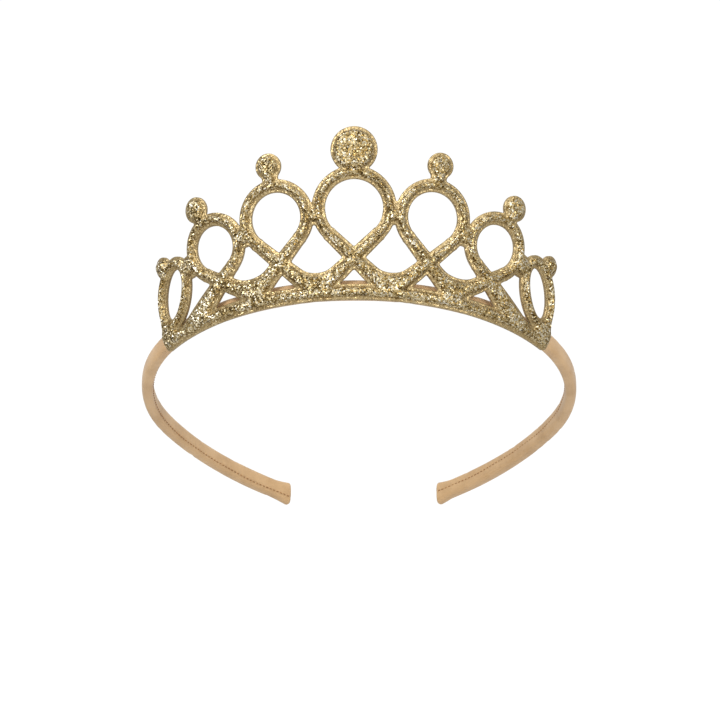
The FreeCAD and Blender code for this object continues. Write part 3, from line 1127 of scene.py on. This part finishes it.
@dataclass(frozen=True)
class BandSizes:
    """Sizes of the band, in millimetres and degrees."""

    arch_radius: float = WORN.arch_radius
    arch_half: float = 110.6
    arm_radius: float = 127.5
    arm_sweep: float = 27.0
    width: float = 5.54
    thickness: float = 3.42
    core_width: float = 4.4
    core_thickness: float = 2.6
    corner: float = 1.57
    corner_saving: float = 1.72
    tuck: float = 2.0
    around: float = 16.5
    section_power: float = 2 / 3.0
    core_room: float = 0.1
    core_share: float = 0.97
    core_points: int = 24
    core_step: float = 1.0
    sleeve_points: int = 64
    sleeve_step: float = 0.45
    end_rings: int = 7
    end_pinch: float = 0.8
    flare_length: float = 7.5
    flare_ease: float = 0.6
    flare_width: float = 7.5
    flare_thickness: float = 3.0
    end_fold: float = 0.9
    flex_angle: float = 68.0
    flex_reach: float = 11.0
    end_round: float = 0.9

    @property
    def arch_length(self) -> float:
        """Length of half the arch."""
        return self.arch_radius * math.radians(self.arch_half)

    @property
    def half_length(self) -> float:
        """Length from the top of the arch to the tip of an arm."""
        return self.arch_length + self.arm_radius * math.radians(self.arm_sweep)

    @property
    def girth(self) -> float:
        """Length of cloth round the tube."""
        return 2 * (self.width + self.thickness) - self.corner_saving * self.corner


class Band:
    """Satin tube, its seam, and the strip inside."""

    def __init__(self, looks: Looks) -> None:
        """Keep the materials.

        Args:
            looks: The materials.
        """
        self.looks = looks
        self.sizes = BandSizes()
        self.creases = Creases()
        self.seam = SeamSizes()

    def build(self) -> None:
        """Make both halves of the tube, the seam and the strip."""
        for side in Side:
            sleeve = self._sleeve(side)
            seam = self._seam(side)
            core = self._core(side)
            for thing, slot, word in ((sleeve, Slot.SATIN, "sleeve"), (seam, Slot.THREAD, "seam"),
                                      (core, Slot.CORE, "core")):
                self.looks.apply(thing, slot)
                self._bend(thing, side)
                nodes = [f"{word}_{side.word}_arm"]
                if side is Side.LEFT:
                    nodes.append(f"{word}_arch")
                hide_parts(*nodes)
                LOG.info("made %s", thing.name)

    def path(self, run: np.ndarray) -> tuple[np.ndarray, np.ndarray]:
        """Middle line of the right half and its outward directions.

        Args:
            run: Distances along the band from the top, in millimetres.

        Returns:
            Points and unit vectors in the upright drawing's XZ plane.
        """
        s = self.sizes
        on_arm = run > s.arch_length
        turn = np.where(on_arm, math.radians(s.arch_half) + (run - s.arch_length) / s.arm_radius,
                        run / s.arch_radius)
        way = np.column_stack([np.sin(turn), np.zeros_like(turn), np.cos(turn)])
        last = math.radians(s.arch_half)
        centre = np.array([math.sin(last), 0, math.cos(last)]) * (s.arch_radius - s.arm_radius)
        radius = np.where(on_arm, s.arm_radius, s.arch_radius)
        return way * radius[:, None] + centre * on_arm[:, None], way

    def _section(self, width: np.ndarray, thickness: np.ndarray, count: int) -> np.ndarray:
        """Rounded section for each ring.

        Args:
            width: Width of each ring.
            thickness: Thickness of each ring.
            count: Points in a ring.

        Returns:
            Rings by points by (across, outward).
        """
        turn = ring_turns(count)
        power = self.sizes.section_power
        across = np.sign(np.cos(turn)) * np.abs(np.cos(turn)) ** power
        outward = np.sign(np.sin(turn)) * np.abs(np.sin(turn)) ** power
        return np.stack([width[:, None] / 2 * across, thickness[:, None] / 2 * outward], axis=2)

    def _sweep(self, name: str, side: Side, run: np.ndarray, section: np.ndarray,
               lining: np.ndarray | None = None) -> bpy.types.Object:
        """Bar through sections along the band, or a tube with a wall if it has a lining.

        Args:
            name: The object's name.
            side: Which half.
            run: Distances of the rings along the band.
            section: Rings of points by (across, outward).
            lining: The tube's inner rings, open at the first ring and shut at the last.

        Returns:
            The closed object.
        """
        outer = self._rings(side, run, section)
        rings, count = section.shape[:2]
        faces = ring_faces(rings, count, 0, side is Side.LEFT)
        cap = list(range((rings - 1) * count, rings * count))
        faces.append(cap if side is Side.RIGHT else cap[::-1])
        around = np.tile(np.linspace(0, self.sizes.around, count, endpoint=False), rings)
        uvs = np.column_stack([around, np.repeat(run, count)]) * MM
        if lining is None:
            start = list(range(count))
            faces.append(start[::-1] if side is Side.RIGHT else start)
            return make_object(name, WORN.place(outer), faces, uvs)
        back = np.minimum(run, self.sizes.half_length - self.sizes.end_fold)
        inner = self._rings(side, back, lining)
        first = rings * count
        faces += ring_faces(rings, count, first, side is Side.RIGHT)
        shut = [first + place for place in cap]
        faces.append(shut[::-1] if side is Side.RIGHT else shut)
        for place in range(count):
            beside = (place + 1) % count
            quad = [place, first + place, first + beside, beside]
            faces.append(quad if side is Side.LEFT else quad[::-1])
        return make_object(name, WORN.place(np.vstack([outer, inner])), faces,
                           np.vstack([uvs, uvs]))

    def _rings(self, side: Side, run: np.ndarray, section: np.ndarray) -> np.ndarray:
        """Points of every ring in the upright drawing.

        Args:
            side: Which half.
            run: Distance of each ring along the band.
            section: Rings of points by (across, outward).

        Returns:
            The points, one ring after another.
        """
        middle, way = self.path(run)
        points = middle[:, None, :] + way[:, None, :] * section[:, :, 1:2]
        points[:, :, 1] += section[:, :, 0]
        points[:, :, 0] *= side.value
        return points.reshape(-1, 3)

    def _sleeve_rings(self) -> tuple[np.ndarray, np.ndarray, np.ndarray]:
        """Rings of the tube, which flares and then rounds over at its pressed end.

        Returns:
            Distance along the band, width and thickness of each ring.
        """
        s = self.sizes
        turns = np.linspace(0, math.pi / 2, s.end_rings)
        run = np.append(np.arange(0, s.half_length - s.end_round, s.sleeve_step),
                        s.half_length - s.end_round * (1 - np.sin(turns)))
        back = s.half_length - run
        fold = np.clip(1 - back / s.end_round, 0, 1)
        ease = np.clip(1 - back / s.flare_length, 0, 1)
        ease = ease ** 2 * (1 + s.flare_ease - s.flare_ease * ease)
        drawn = 2 * s.end_round * (1 - np.sqrt(np.maximum(1 - fold ** 2, 0)))
        width = s.width + (s.flare_width - s.width) * ease - s.end_pinch * drawn
        thickness = s.thickness + (s.flare_thickness - s.thickness) * ease - s.end_pinch * drawn
        return run, width, thickness

    def _sleeve(self, side: Side) -> bpy.types.Object:
        """Half of the satin tube, creased, with its pressed end.

        Args:
            side: Which half.

        Returns:
            The closed, double-walled object.
        """
        s = self.sizes
        run, width, thickness = self._sleeve_rings()
        section = self._section(width, thickness, s.sleeve_points)
        inner = section[:, :, 1] < 0
        relief = np.where(inner, self.seam.relief(section[:, :, 0], run, side), 0)
        depth = self.creases.field(run, ring_turns(s.sleeve_points), s.half_length, side)
        section = section * (1 - depth[:, :, None] / self.creases.radius)
        section[:, :, 1] += relief
        room = np.full_like(run, s.core_room)
        lining = self._section(s.core_width + room, s.core_thickness + room, s.sleeve_points)
        return self._sweep(f"satin_sleeve_{side.word}", side, run, section, lining)

    def _core(self, side: Side) -> bpy.types.Object:
        """Half of the plastic strip inside the tube.

        Args:
            side: Which half.

        Returns:
            The closed object.
        """
        s = self.sizes
        run = np.arange(0, s.half_length - s.end_fold, s.core_step)
        ones = np.ones_like(run)
        section = self._section(s.core_width * ones, s.core_thickness * ones, s.core_points)
        return self._sweep(f"core_strip_{side.word}", side, run, section * s.core_share)

    def _seam(self, side: Side) -> bpy.types.Object:
        """Half of the sewn seam: stitches laid along the inner face.

        Args:
            side: Which half.

        Returns:
            The stitches as one object.
        """
        s, sewn = self.sizes, self.seam
        run = np.arange(sewn.start, s.half_length - sewn.end, sewn.step)
        middle, way = self.path(run)
        points = middle - way * (s.thickness / 2 - sewn.sunk)
        points[:, 1] += sewn.level(run, side)
        points[:, 0] *= side.value
        placed = WORN.place(points)
        mesh = bpy.data.meshes.new("seam_line")
        edges = [(k, k + 1) for k in range(len(placed) - 1)]
        mesh.from_pydata(placed.tolist(), edges, [])
        thing = bpy.data.objects.new(f"seam_stitches_{side.word}", mesh)
        bpy.context.scene.collection.objects.link(thing)
        tree = stitch_tree(self.looks.by_slot[Slot.THREAD])
        values = {"Pitch": sewn.stitch_pitch * MM, "Length": sewn.stitch_length * MM,
                  "Radius": sewn.stitch_radius * MM, "Seed": sewn.seeds[side.place]}
        return settle(thing, tree, values)

    def _bend(self, thing: bpy.types.Object, side: Side) -> None:
        """Bake a piece's placement into its mesh; the band's points either side of the bend are
        worked out but not used.

        Args:
            thing: The piece.
            side: Which arm.
        """
        s = self.sizes
        middle = s.arch_radius * math.radians(s.flex_angle)
        for step in (-s.flex_reach, s.flex_reach):
            point = self.path(np.array([middle + step]))[0]
            point[:, 0] *= side.value
        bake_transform(thing)


def ring_turns(count: int) -> np.ndarray:
    """Angles of the points of a ring.

    Args:
        count: How many points.

    Returns:
        The angles in radians.
    """
    return np.linspace(0, 2 * math.pi, count, endpoint=False)


def ring_faces(rings: int, count: int, first: int, turned: bool) -> list[list[int]]:
    """Quads between neighbouring rings of points.

    Args:
        rings: How many rings.
        count: Points in each ring.
        first: Index of the first point.
        turned: Whether the quads face the other way.

    Returns:
        The quads.
    """
    grid = np.arange(rings * count).reshape(rings, count) + first
    ahead, behind = grid[1:], grid[:-1]
    quads = np.stack([behind, ahead, np.roll(ahead, -1, axis=1), np.roll(behind, -1, axis=1)],
                     axis=2).reshape(-1, 4)
    return (quads if turned else quads[:, ::-1]).tolist()


STITCH_SIDES = 8
STITCH_RINGS = 6
STITCH_SWAY = 0.16  # radians either way


def stitch_tree(material: bpy.types.Material) -> bpy.types.NodeTree:
    """Nodes that lay stitches along a line.

    Args:
        material: The thread.

    Returns:
        The node group.
    """
    tree = bpy.data.node_groups.new("Stitches", "GeometryNodeTree")
    face = tree.interface
    face.new_socket("Geometry", in_out="INPUT", socket_type="NodeSocketGeometry")
    for label in ("Pitch", "Length", "Radius"):
        face.new_socket(label, in_out="INPUT", socket_type="NodeSocketFloat")
    face.new_socket("Seed", in_out="INPUT", socket_type="NodeSocketInt")
    face.new_socket("Geometry", in_out="OUTPUT", socket_type="NodeSocketGeometry")
    nodes = Nodes(tree)
    given = nodes.add("NodeGroupInput")
    result = nodes.add("NodeGroupOutput")
    curve = nodes.add("GeometryNodeMeshToCurve")
    nodes.join(given.outputs["Geometry"], curve.inputs[0])
    spaced = nodes.add("GeometryNodeResampleCurve", mode="LENGTH")
    nodes.join(curve.outputs[0], spaced.inputs["Curve"])
    nodes.join(given.outputs["Pitch"], spaced.inputs["Length"])
    spots = nodes.add("GeometryNodeCurveToPoints", mode="EVALUATED")
    nodes.join(spaced.outputs[0], spots.inputs[0])
    ball = nodes.add("GeometryNodeMeshUVSphere")
    ball.inputs["Segments"].default_value = STITCH_SIDES
    ball.inputs["Rings"].default_value = STITCH_RINGS
    nodes.join(given.outputs["Radius"], ball.inputs["Radius"])
    stretch = nodes.math("DIVIDE", given.outputs["Length"],
                         nodes.math("MULTIPLY", given.outputs["Radius"], 2.0))
    size = nodes.add("ShaderNodeCombineXYZ")
    size.inputs[0].default_value = 1.0
    size.inputs[1].default_value = 1.0
    nodes.join(stretch, size.inputs[2])
    shaped = nodes.add("GeometryNodeTransform")
    nodes.join(ball.outputs[0], shaped.inputs["Geometry"])
    nodes.join(size.outputs[0], shaped.inputs["Scale"])
    sway = nodes.add("FunctionNodeRandomValue", data_type="FLOAT_VECTOR")
    sway.inputs["Min"].default_value = (-STITCH_SWAY, -STITCH_SWAY, 0.0)
    sway.inputs["Max"].default_value = (STITCH_SWAY, STITCH_SWAY, 0.0)
    nodes.join(given.outputs["Seed"], sway.inputs["Seed"])
    turned = nodes.add("FunctionNodeRotateRotation", rotation_space="LOCAL")
    nodes.join(spots.outputs["Rotation"], turned.inputs["Rotation"])
    nodes.join(sway.outputs[0], turned.inputs["Rotate By"])
    laid = nodes.add("GeometryNodeInstanceOnPoints")
    nodes.join(spots.outputs["Points"], laid.inputs["Points"])
    nodes.join(shaped.outputs[0], laid.inputs["Instance"])
    nodes.join(turned.outputs[0], laid.inputs["Rotation"])
    real = nodes.add("GeometryNodeRealizeInstances")
    nodes.join(laid.outputs[0], real.inputs[0])
    painted = nodes.add("GeometryNodeSetMaterial")
    painted.inputs["Material"].default_value = material
    nodes.join(real.outputs[0], painted.inputs["Geometry"])
    nodes.join(painted.outputs[0], result.inputs["Geometry"])
    return tree


def settle(thing: bpy.types.Object, tree: bpy.types.NodeTree,
           values: dict[str, float]) -> bpy.types.Object:
    """Run a node tree on an object and keep the result as its plain mesh.

    Args:
        thing: The object that carries the line.
        tree: The node group.
        values: Group inputs by name.

    Returns:
        The same object, with no modifier.
    """
    modifier = thing.modifiers.new("nodes", "NODES")
    modifier.node_group = tree
    for item in tree.interface.items_tree:
        if item.in_out == "INPUT" and item.name in values:
            modifier[item.identifier] = values[item.name]
    thing.update_tag()
    bpy.context.view_layer.update()
    graph = bpy.context.evaluated_depsgraph_get()
    mesh = bpy.data.meshes.new_from_object(thing.evaluated_get(graph))
    thing.modifiers.remove(modifier)
    thing.data = mesh
    mesh.polygons.foreach_set("use_smooth", [True] * len(mesh.polygons))
    return thing


# ------------------------------------------------------------------- studio --
@dataclass(frozen=True)
class Lens:
    """The camera, measured from the middle line at the top of the arch.

    Millimetres and radians, but nearest is in metres and shift_x a share of the sensor.
    """

    distance: float = 689.4
    turn: float = math.radians(1.34)
    height: float = -18.53
    focal: float = 129.26
    shift_x: float = 0.0076
    sensor: float = 36.0
    nearest: float = 0.01
    roll: float = -0.003
    arch_top: tuple[float, float, float] = (0.0, -1.66, 0.86)


@dataclass(frozen=True)
class Lamp:
    """One soft square light. Metres and watts."""

    name: str
    at: tuple[float, float, float]
    size: float
    power: float


LAMPS: tuple[Lamp, ...] = (
    Lamp("key", (-0.45, -0.85, 0.70), 0.50, 8.5),
    Lamp("fill", (0.75, -0.80, 0.45), 0.50, 4.5),
    Lamp("low", (0.0, -0.8, -0.40), 0.60, 0.8),
    Lamp("top", (0.05, -0.15, 1.0), 0.70, 3.0),
)


@dataclass(frozen=True)
class Backdrop:
    """Floor and surroundings. Metres."""

    floor_half: float = 6.0
    floor_level: float = -0.45
    floor_tone: float = 0.62
    floor_roughness: float = 0.9
    floor_glow: float = 0.12
    floor_seen: float = 0.9
    light: float = 0.62
    light_seen: float = 0.42
    aim: tuple[float, float, float] = (0.0, 0.03, 0.0)


class Studio:
    """Floor, backdrop, light and camera."""

    def __init__(self, lens: Lens) -> None:
        """Keep the lens.

        Args:
            lens: Where the camera stands.
        """
        self.lens = lens
        self.backdrop = Backdrop()

    def build(self) -> None:
        """Make everything that isn't the object."""
        self._floor()
        self._world()
        for lamp in LAMPS:
            self._lamp(lamp)
        self._camera()
        bpy.context.scene.view_settings.view_transform = "Standard"

    def _floor(self) -> None:
        """Wide pale floor well below the object, which is shown as worn."""
        size, level = self.backdrop.floor_half, self.backdrop.floor_level
        corners = np.array([(-size, -size, level), (size, -size, level), (size, size, level),
                            (-size, size, level)])
        floor = make_object("floor", corners, [[0, 1, 2, 3]])
        material = bpy.data.materials.new("floor")
        material.use_nodes = True
        surface = material.node_tree.nodes["Principled BSDF"]
        surface.inputs["Base Color"].default_value = (*[self.backdrop.floor_tone] * 3, 1.0)
        surface.inputs["Roughness"].default_value = self.backdrop.floor_roughness
        surface.inputs["Emission Color"].default_value = (1.0, 1.0, 1.0, 1.0)
        nodes = Nodes(material.node_tree)
        path = nodes.add("ShaderNodeLightPath")
        glow = nodes.math("MULTIPLY_ADD", path.outputs["Is Camera Ray"], self.backdrop.floor_seen,
                          self.backdrop.floor_glow)
        nodes.join(glow, surface.inputs["Emission Strength"])
        floor.data.materials.append(material)

    def _world(self) -> None:
        """Even white surroundings, brighter to the eye than as a light."""
        world = bpy.data.worlds.new("studio")
        world.use_nodes = True
        nodes = Nodes(world.node_tree)
        back = world.node_tree.nodes["Background"]
        path = nodes.add("ShaderNodeLightPath")
        strength = nodes.math("MULTIPLY_ADD", path.outputs["Is Camera Ray"],
                              self.backdrop.light_seen, self.backdrop.light)
        nodes.join(strength, back.inputs["Strength"])
        back.inputs["Color"].default_value = (1.0, 1.0, 1.0, 1.0)
        bpy.context.scene.world = world

    def _lamp(self, lamp: Lamp) -> None:
        """Soft light that looks at the object.

        Args:
            lamp: Its place, size and power.
        """
        data = bpy.data.lights.new(lamp.name, "AREA")
        data.size = lamp.size
        data.energy = lamp.power
        thing = bpy.data.objects.new(lamp.name, data)
        thing.location = lamp.at
        aim = Vector(self.backdrop.aim) - Vector(lamp.at)
        thing.rotation_euler = aim.to_track_quat("-Z", "Y").to_euler()
        bpy.context.scene.collection.objects.link(thing)

    def _camera(self) -> None:
        """Level camera in front of the crown."""
        lens = self.lens
        data = bpy.data.cameras.new("camera")
        data.lens = lens.focal
        data.sensor_width = lens.sensor
        data.shift_x = lens.shift_x
        data.clip_start = lens.nearest
        camera = bpy.data.objects.new("camera", data)
        right = Vector((math.cos(lens.turn), math.sin(lens.turn), 0.0))
        ahead = Vector((-math.sin(lens.turn), math.cos(lens.turn), 0.0))
        up = Vector((0.0, 0.0, 1.0))
        across = math.cos(lens.roll) * right + math.sin(lens.roll) * up
        above = math.cos(lens.roll) * up - math.sin(lens.roll) * right
        at = Vector(lens.arch_top) - ahead * lens.distance + up * lens.height
        axes = Matrix((across, above, -ahead)).transposed()
        camera.matrix_world = Matrix.Translation(at * MM) @ axes.to_4x4()
        bpy.context.scene.collection.objects.link(camera)
        bpy.context.scene.camera = camera


def main() -> None:
    """Build the scene round the frame."""
    logging.basicConfig(level=logging.INFO)
    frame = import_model()
    looks = Looks()
    CrownPanel(looks).build()
    Band(looks).build()
    looks.apply(frame["nodes"]["glue_bead"], Slot.GLUE)
    LOG.info("dressed glue_bead")
    Studio(Lens()).build()


if __name__ == "__main__":
    main()
